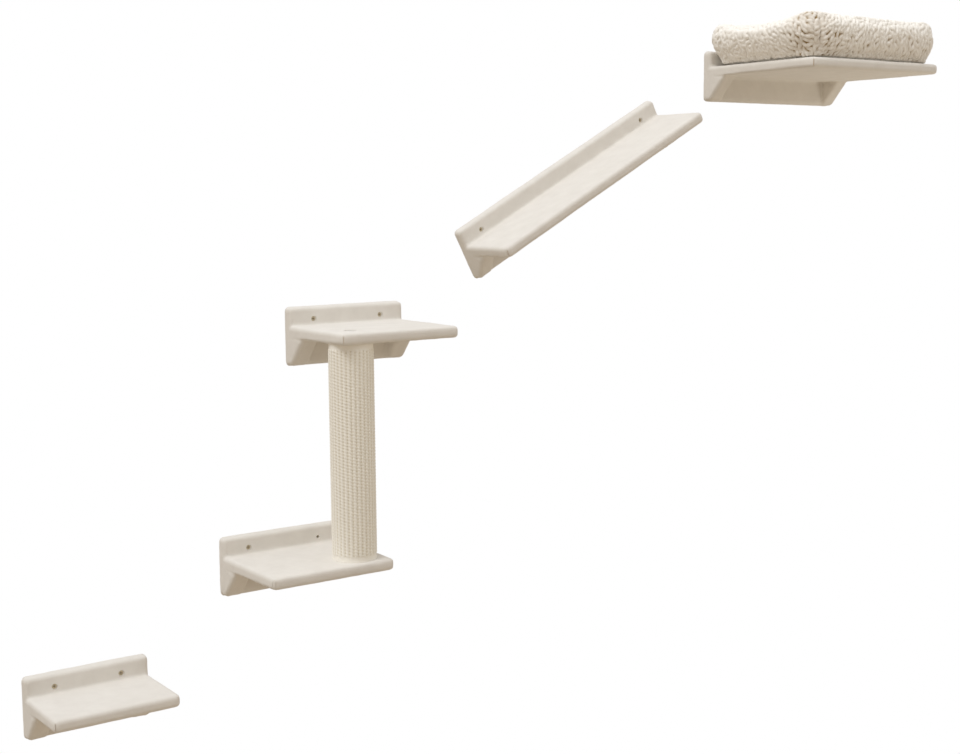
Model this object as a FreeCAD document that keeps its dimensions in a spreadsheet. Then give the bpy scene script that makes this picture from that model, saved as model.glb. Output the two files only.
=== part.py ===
# Wall mounted cat tree: a step, two perches joined by a scratching post, a ramp and a bed shelf.
#
# Frame: millimetres, +X to the right along the wall, -Y out of the wall, +Z up. The wall is the
# plane Y = 0 and the origin is on the step's left wall screw.
#
# All five wall units are built alike: a back board, a shelf board and two triangular brackets,
# screwed together from behind and covered with one plush cover. Inside a unit, x runs from its
# left end, depth is measured out of the wall and z from its bottom edge.
import FreeCAD, Part
import Sketcher
import math
import os

SIZES = (
    # plush and boards
    ("pile", 4.0),                  # plush on every visible face of the boards
    ("flange", 3.0),                # plush folded flat behind the back board
    ("flange_width", 32.0),         # how far the folded plush reaches in from the edge
    ("board", 18.0),                # every flat board
    ("bracket_width", 36.0),        # the triangular bracket, along the wall
    ("edge_round", 7.0),            # plush rounding over the boards' edges
    ("corner_round", 11.0),         # the shelf's two front corners, seen from above
    # the profile that every unit shares
    ("back_height", 131.0),
    ("shelf_rise", 90.0),           # bottom edge to the top of the shelf
    ("bracket_reach", 58.0),        # bracket along the shelf's underside
    ("screw_height", 104.0),        # wall screws above the unit's bottom edge
    ("screw_inset", 62.0),          # wall screws from the unit's ends
    ("frame_screw_inset", 84.0),    # shelf board screws from the unit's ends
    ("bracket_screw_height", 45.0),
    # the units
    ("step_length", 270.0),
    ("step_depth", 192.0),
    ("perch_length", 300.0),
    ("perch_depth", 260.0),
    ("ramp_length", 704.0),
    ("ramp_depth", 189.0),
    ("ramp_angle", 28.0),
    ("bed_length", 486.0),
    ("bed_depth", 393.0),
    # where they hang, measured from the step's left fixing to each unit's bottom left corner
    ("lower_left", 393.0),
    ("lower_bottom", 126.0),
    ("ramp_left", 1095.5),
    ("ramp_bottom", 804.5),
    ("bed_left", 1859.5),
    ("bed_bottom", 1254.5),
    # scratching post
    ("post_length", 478.0),
    ("post_radius", 50.0),          # over its woven wrap
    ("wrap", 3.0),
    ("tube_wall", 5.0),
    ("post_depth", 202.0),          # post axis out of the wall
    ("post_from_lower_end", 69.0),  # post axis from the lower perch's right end
    ("post_from_upper_end", 53.0),  # post axis from the upper perch's left end
    ("plug_length", 30.0),
    # fasteners
    ("fit_clearance", 0.1),
    ("wall_screw_radius", 2.5),
    ("wall_screw_head", 5.0),
    ("wall_screw_length", 70.0),
    ("wall_plug_radius", 4.0),
    ("wall_plug_length", 50.0),
    ("frame_screw_radius", 2.0),
    ("frame_screw_head", 4.0),
    ("frame_screw_length", 40.0),
    ("tip_length", 5.0),
    ("recess_depth", 1.8),
    ("recess_arm", 1.0),
    ("dimple", 2.6),                # plush pressed open round a wall screw's head
    ("bolt_radius", 4.0),
    ("bolt_head", 8.5),
    ("bolt_head_height", 2.0),
    ("bolt_length", 44.0),
    ("bolt_socket", 2.5),
    ("washer_radius", 12.0),
    ("washer_thickness", 1.2),
    ("nut_wall", 1.5),
    ("nut_length", 22.0),
    # bed
    ("nest_clearance", 0.3),
    ("nest_end_gap", 2.0),          # bed in from the shelf's ends
    ("nest_front_gap", 3.0),        # bed in from the shelf's front edge
    ("nest_back_gap", 1.0),
    ("rim_height", 102.0),
    ("rim_corner_rise", 9.0),       # the corners stand above the middle of the sides
    ("rim_thickness", 46.0),
    ("rim_corner_round", 20.0),     # middle of the rim's wall, seen from above
    ("rim_foot_inset", 9.0),        # the wall draws in at its foot
    ("rim_shoulder", 15.0),         # how far the rounded top reaches down
    ("pad_height", 34.0),
    ("pad_crown", 12.0),
    ("pad_flat", 43.45),            # half the depth of the crown's level middle
    ("pad_round", 24.0),
)

DEPTHWISE = FreeCAD.Rotation(FreeCAD.Vector(1, 0, 0), 90)   # turns +Z to -Y, out of the wall
TILT_AXIS = FreeCAD.Vector(0, -1, 0)                        # lifts the right end of a unit
RIM_CORNER_STEPS = 4    # sections round each corner of the bed's rim
RIM_SIDE_STEPS = 6      # and along each side
RIM_FRONT = 3           # the side that stays level between its corners
PAD_CROWN_STEPS = 6

# A board's faces, as depth from the wall
BOARD_BACK = "Sizes.flange"
BOARD_FRONT = "(Sizes.flange + Sizes.board)"
PLUSH_FRONT = "(Sizes.flange + Sizes.board + Sizes.pile)"
# The shelf's faces, above the unit's bottom edge
SHELF_TOP = "Sizes.shelf_rise"
SHELF_BOTTOM = "(Sizes.shelf_rise - Sizes.board - 2 * Sizes.pile)"
BOARD_TOP = "(Sizes.shelf_rise - Sizes.pile)"
BOARD_BOTTOM = "(Sizes.shelf_rise - Sizes.pile - Sizes.board)"
SHELF_MIDDLE = "(Sizes.shelf_rise - Sizes.pile - Sizes.board / 2)"
BRACKET_BLOCK = "(Sizes.bracket_width + 2 * Sizes.pile)"
BRACKET_LEAN = "(Sizes.bracket_reach / %s)" % SHELF_BOTTOM
SCREW_HOLE = "(Sizes.%s_radius + Sizes.fit_clearance)"
SCREW_HEAD = "(Sizes.%s_head + Sizes.fit_clearance)"


def make_sheet(doc):
    sheet = doc.addObject("Spreadsheet::Sheet", "Sizes")
    for row, (name, value) in enumerate(SIZES, start=1):
        sheet.set("A%d" % row, name)
        sheet.set("B%d" % row, str(value))
        sheet.setAlias("B%d" % row, name)
    doc.recompute()
    return sheet


class Unit:
    """One wall unit: its sizes and its place as expressions over the sheet."""

    def __init__(self, name, size, left, bottom, shelf_screws, angle=None):
        self.name = name
        self.length = "Sizes.%s_length" % size
        self.depth = "Sizes.%s_depth" % size
        self.left = left
        self.bottom = bottom
        self.shelf_screws = shelf_screws
        self.angle = angle

    def put(self, thing):
        """Move something made in the unit's own frame to where the unit hangs."""
        if self.angle:
            thing.Placement.Rotation = FreeCAD.Rotation(TILT_AXIS, 1)
            thing.setExpression("Placement.Rotation.Angle", "%s * 1 deg" % self.angle)
        thing.setExpression("Placement.Base.x", self.left)
        thing.setExpression("Placement.Base.z", self.bottom)

    def point(self, x, z):
        """The row frame's X and Z of a point of the unit, as expressions."""
        if not self.angle:
            return "%s + %s" % (self.left, x), "%s + %s" % (self.bottom, z)
        cosine = "cos(%s * 1 deg)" % self.angle
        sine = "sin(%s * 1 deg)" % self.angle
        return ("%s + (%s) * %s - (%s) * %s" % (self.left, x, cosine, z, sine),
                "%s + (%s) * %s + (%s) * %s" % (self.bottom, x, sine, z, cosine))

    def wall_screw_places(self):
        return [("Sizes.screw_inset", "Sizes.screw_height"),
                ("(%s - Sizes.screw_inset)" % self.length, "Sizes.screw_height")]

    def shelf_screw_places(self):
        span = "(%s - 2 * Sizes.frame_screw_inset)" % self.length
        return [("(Sizes.frame_screw_inset + %s * %d / %d)" % (span, i, self.shelf_screws - 1),
                 SHELF_MIDDLE) for i in range(self.shelf_screws)]

    def bracket_screw_places(self):
        middle = "(Sizes.pile + Sizes.bracket_width / 2)"
        return [(middle, "Sizes.bracket_screw_height"),
                ("(%s - %s)" % (self.length, middle), "Sizes.bracket_screw_height")]


def make_units():
    post_axis = "(Sizes.lower_left + Sizes.perch_length - Sizes.post_from_lower_end)"
    return {
        "step": Unit("step", "step", "-Sizes.screw_inset", "-Sizes.screw_height", 2),
        "lower": Unit("lower_perch", "perch", "Sizes.lower_left", "Sizes.lower_bottom", 2),
        "upper": Unit("upper_perch", "perch", "%s - Sizes.post_from_upper_end" % post_axis,
                      "Sizes.lower_bottom + Sizes.post_length + Sizes.board + 2 * Sizes.pile", 2),
        "ramp": Unit("ramp", "ramp", "Sizes.ramp_left", "Sizes.ramp_bottom", 4,
                     angle="Sizes.ramp_angle"),
        "bed": Unit("bed_shelf", "bed", "Sizes.bed_left", "Sizes.bed_bottom", 3),
    }


# ---- building blocks ----

def new_body(doc, name):
    body = doc.addObject("PartDesign::Body", name)
    body.Label = name
    return body


def origin_plane(body, role):
    return [item for item in body.Origin.OriginFeatures if item.Role == role][0]


def polygon(body, role, points):
    """A closed outline on an origin plane, each corner held by its two distances."""
    sketch = body.newObject("Sketcher::SketchObject", body.Name + "_outline")
    sketch.AttachmentSupport = [(origin_plane(body, role), "")]
    sketch.MapMode = "FlatFace"
    count = len(points)
    spots = [FreeCAD.Vector(math.cos(2 * math.pi * i / count), math.sin(2 * math.pi * i / count), 0)
             for i in range(count)]
    for i in range(count):
        sketch.addGeometry(Part.LineSegment(spots[i], spots[(i + 1) % count]))
    for i in range(count):
        sketch.addConstraint(Sketcher.Constraint("Coincident", i, 2, (i + 1) % count, 1))
    for i, (across, up) in enumerate(points):
        for kind, spot, size in (("DistanceX", spots[i].x, across), ("DistanceY", spots[i].y, up)):
            index = sketch.addConstraint(Sketcher.Constraint(kind, -1, 1, i, 1, spot))
            sketch.setExpression("Constraints[%d]" % index, size)
    return sketch


def pad(body, sketch, length):
    feature = body.newObject("PartDesign::Pad", sketch.Name + "_pad")
    feature.Profile = sketch
    sketch.Visibility = False
    feature.setExpression("Length", length)
    return feature


def block(body, kind, low, size):
    """A box from its lowest corner: x, then depth out of the wall, then z."""
    feature = body.newObject("PartDesign::%sBox" % kind, body.Name + "_block")
    for key, value in zip(("Length", "Width", "Height"), size):
        feature.setExpression(key, value)
    x, depth, z = low
    feature.setExpression("Placement.Base.x", x)
    feature.setExpression("Placement.Base.y", "-(%s) - (%s)" % (depth, size[1]))
    feature.setExpression("Placement.Base.z", z)
    return feature


def bore(body, place, depth, length, radius, far_radius=None):
    """A hole that starts at a depth from the wall and runs out of it, round or conical."""
    kind = "Cone" if far_radius else "Cylinder"
    feature = body.newObject("PartDesign::Subtractive" + kind, body.Name + "_bore")
    feature.Placement.Rotation = DEPTHWISE
    feature.setExpression("Radius1" if far_radius else "Radius", radius)
    if far_radius:
        feature.setExpression("Radius2", far_radius)
    feature.setExpression("Height", length)
    for key, value in (("x", place[0]), ("y", "-(%s)" % depth), ("z", place[1])):
        feature.setExpression("Placement.Base." + key, value)
    return feature


def upright_bore(body, x, depth, z, length, radius):
    """A hole that starts at a height and runs straight up."""
    feature = body.newObject("PartDesign::SubtractiveCylinder", body.Name + "_bore")
    feature.setExpression("Radius", radius)
    feature.setExpression("Height", length)
    for key, value in (("x", x), ("y", "-(%s)" % depth), ("z", z)):
        feature.setExpression("Placement.Base." + key, value)
    return feature


def edges_where(shape, test):
    return ["Edge%d" % (i + 1) for i, edge in enumerate(shape.Edges)
            if test(edge.Vertexes[0].Point, edge.Vertexes[-1].Point)]


def rounded(doc, body, test, radius):
    """Round the edges of the body's tip that pass a test on their two ends."""
    doc.recompute()
    base = body.Tip
    feature = body.newObject("PartDesign::Fillet", body.Name + "_rounding")
    feature.Base = (base, edges_where(base.Shape, test))
    feature.setExpression("Radius", radius)
    doc.recompute()
    return feature


# ---- wall units ----

def make_back_board(doc, unit):
    body = new_body(doc, unit.name + "_back_board")
    block(body, "Additive", ("Sizes.pile", BOARD_BACK, "Sizes.pile"),
          (unit.length + " - 2 * Sizes.pile", "Sizes.board", "Sizes.back_height - 2 * Sizes.pile"))
    for place in unit.wall_screw_places():
        hole, head = SCREW_HOLE % "wall_screw", SCREW_HEAD % "wall_screw"
        bore(body, place, BOARD_BACK, "Sizes.board", hole)
        sink = "(Sizes.wall_screw_head - Sizes.wall_screw_radius)"
        bore(body, place, "%s - %s" % (BOARD_FRONT, sink), sink, hole, head)
    for place in unit.shelf_screw_places() + unit.bracket_screw_places():
        hole, head = SCREW_HOLE % "frame_screw", SCREW_HEAD % "frame_screw"
        bore(body, place, BOARD_BACK, "Sizes.board", hole)
        sink = "(Sizes.frame_screw_head - Sizes.frame_screw_radius)"
        bore(body, place, BOARD_BACK, sink, head, hole)
    return body


def bite():
    """How far a frame screw reaches past the back board, with room at its tip."""
    return "(Sizes.frame_screw_length - Sizes.board + Sizes.fit_clearance)"


def make_shelf_board(doc, unit):
    body = new_body(doc, unit.name + "_shelf_board")
    block(body, "Additive", ("Sizes.pile", BOARD_FRONT, BOARD_BOTTOM),
          (unit.length + " - 2 * Sizes.pile",
           "%s - Sizes.pile - %s" % (unit.depth, BOARD_FRONT), "Sizes.board"))
    for place in unit.shelf_screw_places():
        bore(body, place, BOARD_FRONT, bite(), SCREW_HOLE % "frame_screw")
    return body


def bracket_outline(lowest, highest):
    """The wooden triangle, one pile inside the plush one, as depth and z between two heights.

    The plush slope starts at the back board's front bottom edge. Moving it in by one pile
    makes it cross the board's face a little above that edge, and its tip is cut off flat.
    """
    slope = "sqrt(Sizes.bracket_reach^2 + %s^2)" % SHELF_BOTTOM
    tip = "Sizes.pile * (%s - %s) / Sizes.bracket_reach" % (slope, SHELF_BOTTOM)
    face = "-%s" % BOARD_FRONT
    reach = "-(%s + (%s - %s) * %s)"
    return [(face, lowest),
            (face, highest),
            (reach % (BOARD_FRONT, highest, tip, BRACKET_LEAN), highest),
            (reach % (BOARD_FRONT, lowest, tip, BRACKET_LEAN), lowest)]


def make_bracket(doc, unit, side):
    body = new_body(doc, "%s_%s_bracket" % (unit.name, side))
    outline = polygon(body, "YZ_Plane", bracket_outline("Sizes.pile", BOARD_BOTTOM))
    start = "Sizes.pile" if side == "left" else unit.length + " - Sizes.pile - Sizes.bracket_width"
    outline.setExpression("AttachmentOffset.Base.z", start)
    pad(body, outline, "Sizes.bracket_width")
    place = unit.bracket_screw_places()[0 if side == "left" else 1]
    bore(body, place, BOARD_FRONT, bite(), SCREW_HOLE % "frame_screw")
    return body


def make_cover(doc, sheet, unit):
    """The plush cover: one skin over the boards, open behind the back board."""
    body = new_body(doc, unit.name + "_cover")
    depth = "-(%s)" % unit.depth
    profile = polygon(body, "YZ_Plane", [
        ("0", "0"), ("0", "Sizes.back_height"),
        ("-" + PLUSH_FRONT, "Sizes.back_height"), ("-" + PLUSH_FRONT, SHELF_TOP),
        (depth, SHELF_TOP), (depth, SHELF_BOTTOM),
        ("-" + PLUSH_FRONT, SHELF_BOTTOM), ("-" + PLUSH_FRONT, "0")])
    pad(body, profile, unit.length)
    for start in ("0", unit.length + " - " + BRACKET_BLOCK):
        wedge = polygon(body, "YZ_Plane", [
            ("-" + PLUSH_FRONT, "0"), ("-" + PLUSH_FRONT, SHELF_BOTTOM),
            ("-%s - Sizes.bracket_reach" % PLUSH_FRONT, SHELF_BOTTOM)])
        wedge.setExpression("AttachmentOffset.Base.z", start)
        pad(body, wedge, BRACKET_BLOCK)
    round_cover(doc, sheet, body, unit)
    hollow_cover(body, unit)
    return body


def round_cover(doc, sheet, body, unit):
    doc.recompute()
    box = body.Shape.BoundBox
    near = 0.001
    plush_front = -(sheet.flange + sheet.board + sheet.pile)

    def front_corner(a, b):
        return max(a.y, b.y) < box.YMin + near and abs(a.x - b.x) < near

    def outer(a, b):
        """The end faces' outline, the shelf's front, the top edge and the brackets' slopes."""
        if max(a.y, b.y) > -near or max(a.z, b.z) < near:
            return False
        upright = abs(a.x - b.x) < near and abs(a.y - b.y) < near and b.y < plush_front - near
        if upright:
            return False
        at_end = all(p.x < box.XMin + near or p.x > box.XMax - near for p in (a, b))
        front = max(a.y, b.y) < box.YMin + sheet.corner_round + near
        top = min(a.z, b.z) > box.ZMax - near
        slope = abs(a.x - b.x) < near < min(abs(a.y - b.y), abs(a.z - b.z))
        return front or top or slope or (at_end and abs(a.x - b.x) < near)

    rounded(doc, body, front_corner, "Sizes.corner_round")
    rounded(doc, body, outer, "Sizes.edge_round")


def hollow_cover(body, unit):
    """Take the boards, the bare patch behind them and the screw dimples out of the cover."""
    inner = unit.length + " - 2 * Sizes.pile"
    high = "Sizes.back_height - 2 * Sizes.pile"
    block(body, "Subtractive", ("Sizes.pile", BOARD_BACK, "Sizes.pile"),
          (inner, "Sizes.board", high))
    block(body, "Subtractive", ("Sizes.flange_width", "0", "Sizes.flange_width"),
          (unit.length + " - 2 * Sizes.flange_width", "Sizes.flange",
           "Sizes.back_height - 2 * Sizes.flange_width"))
    block(body, "Subtractive", ("Sizes.pile", BOARD_FRONT, BOARD_BOTTOM),
          (inner, "%s - Sizes.pile - %s" % (unit.depth, BOARD_FRONT), "Sizes.board"))
    for start in ("Sizes.pile", unit.length + " - Sizes.pile - Sizes.bracket_width"):
        cavity = polygon(body, "YZ_Plane", bracket_outline("Sizes.pile", BOARD_BOTTOM))
        cavity.setExpression("AttachmentOffset.Base.z", start)
        feature = body.newObject("PartDesign::Pocket", body.Name + "_pocket")
        feature.Profile = cavity
        cavity.Visibility = False
        feature.Reversed = True
        feature.setExpression("Length", "Sizes.bracket_width")
    for place in unit.wall_screw_places():
        bore(body, place, BOARD_FRONT, "Sizes.pile",
             SCREW_HEAD % "wall_screw", "Sizes.wall_screw_head + Sizes.dimple")
        bore(body, place, "0", BOARD_BACK, SCREW_HOLE % "wall_screw")
    for place in unit.bracket_screw_places():
        bore(body, place, "0", BOARD_BACK, SCREW_HEAD % "frame_screw")


def make_unit(doc, sheet, unit):
    pieces = [make_back_board(doc, unit), make_shelf_board(doc, unit),
              make_bracket(doc, unit, "left"), make_bracket(doc, unit, "right"),
              make_cover(doc, sheet, unit)]
    for piece in pieces:
        unit.put(piece)
    return pieces


# ---- scratching post ----

class Post:
    """The post's axis and heights as expressions in the row frame."""
    x = "(Sizes.lower_left + Sizes.perch_length - Sizes.post_from_lower_end)"
    y = "-Sizes.post_depth"
    foot = "(Sizes.lower_bottom + Sizes.shelf_rise)"
    head = "(Sizes.lower_bottom + Sizes.shelf_rise + Sizes.post_length)"
    board_gap = "(Sizes.pile + Sizes.board)"     # from the post's end to the bolt's washer
    tube_radius = "(Sizes.post_radius - Sizes.wrap)"
    plug_radius = "(Sizes.post_radius - Sizes.wrap - Sizes.tube_wall - Sizes.fit_clearance)"
    nut_radius = "(Sizes.bolt_radius + Sizes.fit_clearance + Sizes.nut_wall)"


def cylinder(body, kind, radius, start, length):
    feature = body.newObject("PartDesign::%sCylinder" % kind, body.Name + "_round")
    feature.setExpression("Radius", radius)
    feature.setExpression("Height", length)
    feature.setExpression("Placement.Base.z", start)
    return feature


def make_tube(doc, name, radius, bore_radius, start, length):
    """A tube on the post's axis, from a height upwards."""
    body = new_body(doc, name)
    cylinder(body, "Additive", radius, "0", length)
    cylinder(body, "Subtractive", bore_radius, "0", length)
    for key, value in (("x", Post.x), ("y", Post.y), ("z", start)):
        body.setExpression("Placement.Base." + key, value)
    return body


def make_ends(doc, name, master, foot, head, flipped=True):
    """The same fastener at the post's foot and head, the foot's one turned over."""
    links = []
    for end, height in (("foot", foot), ("head", head)):
        link = doc.addObject("App::Link", "%s_%s" % (name, end))
        link.LinkedObject = master
        if flipped and end == "foot":
            link.Placement.Rotation = FreeCAD.Rotation(FreeCAD.Vector(1, 0, 0), 180)
        for key, value in (("x", Post.x), ("y", Post.y), ("z", height)):
            link.setExpression("Placement.Base." + key, value)
        links.append(link)
    return group(doc, name, links)


def group(doc, name, links):
    node = doc.addObject("Part::Compound", name)
    node.Label = name
    node.Links = links
    return node


def make_bolt(doc):
    """A low round head with a hexagon socket, its underside at z = 0, the shank downwards."""
    body = new_body(doc, "bolt_pattern_piece")
    cylinder(body, "Additive", "Sizes.bolt_head", "0", "Sizes.bolt_head_height")
    cylinder(body, "Additive", "Sizes.bolt_radius", "-Sizes.bolt_length", "Sizes.bolt_length")
    rounded(doc, body, lambda a, b: a.z > body.Shape.BoundBox.ZMax - 0.001,
            "Sizes.bolt_head_height * 0.6")
    socket = body.newObject("PartDesign::SubtractivePrism", "bolt_socket")
    socket.setExpression("Circumradius", "Sizes.bolt_socket")
    socket.setExpression("Height", "Sizes.bolt_head_height")
    socket.setExpression("Placement.Base.z", "Sizes.bolt_head_height * 0.1")
    return body


def make_ring(doc, name, radius, bore_radius, length):
    """A ring that stands on z = 0."""
    body = new_body(doc, name)
    cylinder(body, "Additive", radius, "0", length)
    cylinder(body, "Subtractive", bore_radius, "0", length)
    return body


def make_post(doc):
    shank = SCREW_HOLE % "bolt"
    plug = [make_tube(doc, "post_%s_plug" % end, Post.plug_radius,
                      "%s + Sizes.fit_clearance" % Post.nut_radius, start, "Sizes.plug_length")
            for end, start in (("bottom", Post.foot),
                               ("top", "%s - Sizes.plug_length" % Post.head))]
    tube = make_tube(doc, "post_tube", Post.tube_radius,
                     Post.plug_radius + " + Sizes.fit_clearance", Post.foot, "Sizes.post_length")
    wrap = make_tube(doc, "post_wrap", "Sizes.post_radius",
                     Post.tube_radius + " + Sizes.fit_clearance", Post.foot, "Sizes.post_length")
    nut = make_ring(doc, "nut_pattern_piece", Post.nut_radius, shank, "Sizes.nut_length")
    washer = make_ring(doc, "washer_pattern_piece", "Sizes.washer_radius", shank,
                       "Sizes.washer_thickness")
    below = "%s - %s" % (Post.foot, Post.board_gap)
    above = "%s + %s" % (Post.head, Post.board_gap)
    nuts = make_ends(doc, "post_threaded_inserts", nut, Post.foot,
                     Post.head + " - Sizes.nut_length", flipped=False)
    washers = make_ends(doc, "post_washers", washer, below, above)
    bolts = make_ends(doc, "post_bolts", make_bolt(doc), below + " - Sizes.washer_thickness",
                      above + " + Sizes.washer_thickness")
    return plug + [tube, wrap, nuts, washers, bolts]


def bore_for_post(perch, boards, cover, post_x):
    """The bolt's hole through a perch and the round well for its head and washer."""
    lower = perch.name == "lower_perch"
    well = "(Sizes.washer_radius + Sizes.dimple)"
    for body in (boards, cover):
        upright_bore(body, post_x, "Sizes.post_depth", SHELF_BOTTOM,
                     "Sizes.board + 2 * Sizes.pile", SCREW_HOLE % "bolt")
    upright_bore(cover, post_x, "Sizes.post_depth", SHELF_BOTTOM if lower else BOARD_TOP,
                 "Sizes.pile", well)


# ---- fasteners ----

def make_screw(doc, name):
    """A countersunk screw with a cross recess: its head at y = 0 and its tip towards +Y."""
    radius, head = "Sizes.%s_radius" % name, "Sizes.%s_head" % name
    length = "Sizes.%s_length" % name
    body = new_body(doc, name + "_pattern_piece")
    outline = polygon(body, "XY_Plane", [
        ("0", "0"), (head, "0"), (radius, "%s - %s" % (head, radius)),
        (radius, length + " - Sizes.tip_length"), ("0", length)])
    revolve(body, outline)
    for across, up in (("Sizes.recess_arm", head), (head, "Sizes.recess_arm")):
        block(body, "Subtractive", ("-%s / 2" % across, "-Sizes.recess_depth", "-%s / 2" % up),
              (across, "Sizes.recess_depth", up))
    return body


def revolve(body, outline):
    feature = body.newObject("PartDesign::Revolution", body.Name + "_turned")
    feature.Profile = outline
    feature.ReferenceAxis = (outline, ["V_Axis"])
    feature.Angle = 360
    outline.Visibility = False
    return feature


def make_wall_plug(doc):
    """The plug that spreads in the wall: a sleeve from y = 0 towards +Y, drawn in at its end."""
    body = new_body(doc, "wall_plug_pattern_piece")
    bore_radius = SCREW_HOLE % "wall_screw"
    end, draw_in = "Sizes.wall_plug_length", "(Sizes.wall_plug_radius - Sizes.wall_screw_radius) / 2"
    revolve(body, polygon(body, "XY_Plane", [
        (bore_radius, "0"), ("Sizes.wall_plug_radius", "0"),
        ("Sizes.wall_plug_radius", "%s - %s" % (end, draw_in)),
        ("Sizes.wall_plug_radius - " + draw_in, end), (bore_radius, end)]))
    return body


def make_fasteners(doc, name, master, places, depth, turned=False):
    """One node of like fasteners, each at its (unit, place) and all at one depth."""
    links = []
    for unit, (x, z) in places:
        link = doc.addObject("App::Link", "%s_%d" % (name, len(links)))
        link.LinkedObject = master
        if turned:
            link.Placement.Rotation = FreeCAD.Rotation(FreeCAD.Vector(0, 0, 1), 180)
        across, up = unit.point(x, z)
        for key, value in (("x", across), ("y", "-(%s)" % depth), ("z", up)):
            link.setExpression("Placement.Base." + key, value)
        links.append(link)
    return group(doc, name, links)


def make_all_fasteners(doc, units):
    wall = [(unit, place) for unit in units for place in unit.wall_screw_places()]
    frame = [(unit, place) for unit in units
             for place in unit.shelf_screw_places() + unit.bracket_screw_places()]
    return [make_fasteners(doc, "wall_screws", make_screw(doc, "wall_screw"), wall, BOARD_FRONT),
            make_fasteners(doc, "wall_plugs", make_wall_plug(doc), wall, "0"),
            make_fasteners(doc, "frame_screws", make_screw(doc, "frame_screw"), frame, BOARD_BACK,
                           turned=True)]


# ---- bed ----

class Nest:
    """The bed's outer size and its place on the bed shelf, in the row frame."""

    def __init__(self, sheet):
        front = -(sheet.bed_depth - sheet.nest_front_gap)
        back = -(sheet.flange + sheet.board + sheet.pile + sheet.nest_back_gap)
        self.left = sheet.bed_left + sheet.nest_end_gap
        self.right = sheet.bed_left + sheet.bed_length - sheet.nest_end_gap
        self.middle = FreeCAD.Vector((self.left + self.right) / 2, (front + back) / 2,
                                     sheet.bed_bottom + sheet.shelf_rise + sheet.nest_clearance)
        self.half_width = (self.right - self.left) / 2
        self.half_depth = (back - front) / 2


def rim_section(sheet, spot, outward, height):
    """An upright section through the rim: flat foot, drawn-in sides and a rounded top."""
    half = sheet.rim_thickness / 2
    foot = half - sheet.rim_foot_inset
    shoulder = half - sheet.rim_foot_inset / 3

    def at(out, up):
        return spot + outward * out + FreeCAD.Vector(0, 0, up)

    low = height - sheet.rim_shoulder
    return Part.Wire([
        Part.LineSegment(at(-foot, 0), at(foot, 0)).toShape(),
        Part.Arc(at(foot, 0), at(half, low * 0.6), at(shoulder, low)).toShape(),
        Part.Arc(at(shoulder, low), at(0, height), at(-shoulder, low)).toShape(),
        Part.Arc(at(-shoulder, low), at(-half, low * 0.6), at(-foot, 0)).toShape()])


def rim_stations(sheet, nest):
    """Spots round the middle of the rim's wall, with their outward directions and heights.

    Every corner is a quarter turn. The front side is level and each of the others sags between
    its corners by a parabola.
    """
    turn = sheet.rim_corner_round
    wide = nest.half_width - sheet.rim_thickness / 2 - turn
    deep = nest.half_depth - sheet.rim_thickness / 2 - turn
    corners = ((wide, -deep), (wide, deep), (-wide, deep), (-wide, -deep))
    stations = []
    for index, (x, y) in enumerate(corners):
        centre = nest.middle + FreeCAD.Vector(x, y, 0)
        for step in range(RIM_CORNER_STEPS + 1):
            angle = (index - 1 + step / RIM_CORNER_STEPS) * math.pi / 2
            outward = FreeCAD.Vector(math.cos(angle), math.sin(angle), 0)
            stations.append((centre + outward * turn, outward,
                             sheet.rim_height + sheet.rim_corner_rise))
        following = nest.middle + FreeCAD.Vector(*corners[(index + 1) % 4], 0)
        for step in range(1, RIM_SIDE_STEPS):
            share = step / RIM_SIDE_STEPS
            spot = centre + (following - centre) * share + outward * turn
            rise = sheet.rim_corner_rise * (1 if index == RIM_FRONT else (2 * share - 1) ** 2)
            stations.append((spot, outward, sheet.rim_height + rise))
    return stations


def make_rim(doc, sheet, nest):
    sections = [rim_section(sheet, *station) for station in rim_stations(sheet, nest)]
    node = doc.addObject("Part::Feature", "bed_rim")
    node.Label = "bed_rim"
    node.Shape = Part.makeLoft(sections, True, True, True)
    return node


def rounded_rectangle(middle, half_width, half_depth, turn):
    """A level outline of lines and quarter arcs."""
    wire = []
    for sign in (1, -1):
        x, y = sign * half_width, sign * half_depth
        inner_x, inner_y = x - sign * turn, y - sign * turn
        bend = turn * (1 - math.sqrt(0.5))

        def at(across, along):
            return middle + FreeCAD.Vector(across, along, 0)

        wire += [Part.LineSegment(at(x, -inner_y), at(x, inner_y)).toShape(),
                 Part.Arc(at(x, inner_y), at(x - sign * bend, y - sign * bend),
                          at(inner_x, y)).toShape(),
                 Part.LineSegment(at(inner_x, y), at(-inner_x, y)).toShape(),
                 Part.Arc(at(-inner_x, y), at(-x + sign * bend, y - sign * bend),
                          at(-x, inner_y)).toShape()]
    return Part.Wire(wire)


def pad_levels(sheet, half_depth):
    """Heights of the pad's outlines and how far each is drawn in: foot, belly, then the crown."""
    side = sheet.pad_height - sheet.pad_crown
    crown_reach = half_depth - sheet.rim_foot_inset / 4 - sheet.pad_flat
    levels = [(0, sheet.rim_foot_inset), (side * 0.25, sheet.rim_foot_inset / 4),
              (side * 0.6, 0)]
    for step in range(PAD_CROWN_STEPS + 1):
        angle = step / PAD_CROWN_STEPS * math.pi / 2
        levels.append((side + sheet.pad_crown * math.sin(angle),
                       sheet.rim_foot_inset / 4 + crown_reach * (1 - math.cos(angle))))
    return levels


def make_pad(doc, sheet, nest):
    """The bed's filling: a cushion with a crown, its sides drawn in above and below."""
    gap = sheet.rim_thickness + sheet.nest_clearance
    half_width, half_depth = nest.half_width - gap, nest.half_depth - gap
    wires = []
    for height, inset in pad_levels(sheet, half_depth):
        wires.append(rounded_rectangle(nest.middle + FreeCAD.Vector(0, 0, height),
                                       half_width - inset, half_depth - inset, sheet.pad_round))
    node = doc.addObject("Part::Feature", "bed_pad")
    node.Label = "bed_pad"
    node.Shape = Part.makeLoft(wires, True, True)
    return node


# ---- the whole ----

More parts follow.
